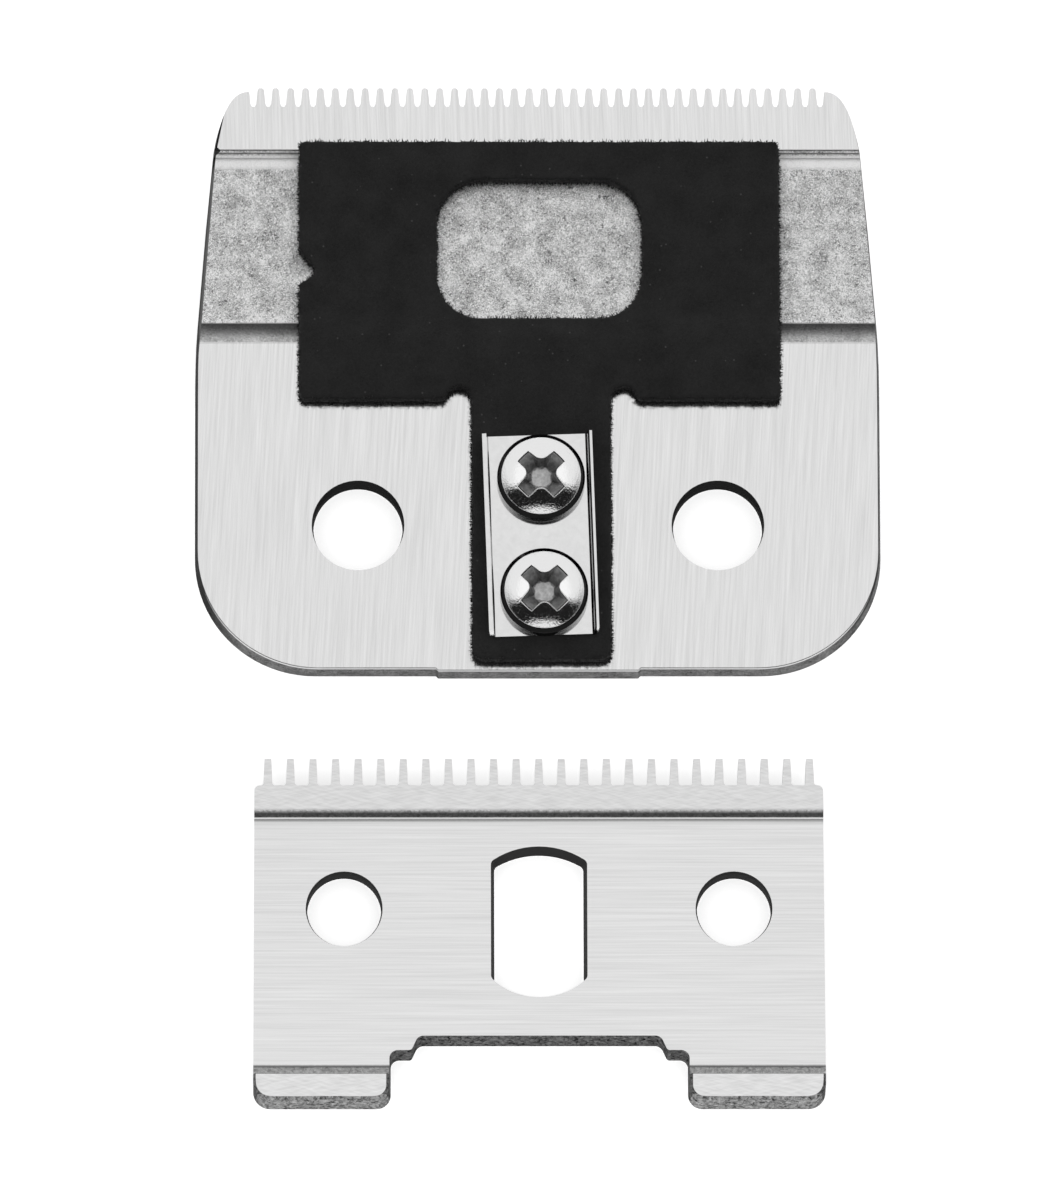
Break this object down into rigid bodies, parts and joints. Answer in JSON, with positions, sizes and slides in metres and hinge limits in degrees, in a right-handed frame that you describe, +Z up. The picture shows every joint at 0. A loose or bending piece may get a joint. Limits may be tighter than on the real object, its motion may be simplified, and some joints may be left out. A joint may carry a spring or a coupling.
{
  "type": "hair clipper blade",
  "caption": "Replacement hair clipper blade taken apart: a toothed fixed blade with felt pad, clamp plate and screws, and the toothed moving blade with drive slot beside it.",
  "frame": {"origin": "centre of the footprint of both halves on the surface they lie on", "axes": "+Y toward the fixed blade's tooth tips, +Z up from the surface toward the running faces, +X to the right seen from the rear"},
  "size_m": [0.0484, 0.074, 0.0055],
  "materials": {
    "fixed_steel": "ground lands, tumbled recess",
    "felt": "black felt",
    "plate_metal": "bright sheet",
    "screw_metal": "plated",
    "moving_steel": "lapped lands, milled body"
  },
  "bodies": {
    "root": {"fixed_blade": "fixed_steel", "felt_pad": "felt", "clamp_plate": "plate_metal", "clamp_screws": "screw_metal", "moving_blade": "moving_steel"}
  },
  "joints": []
}
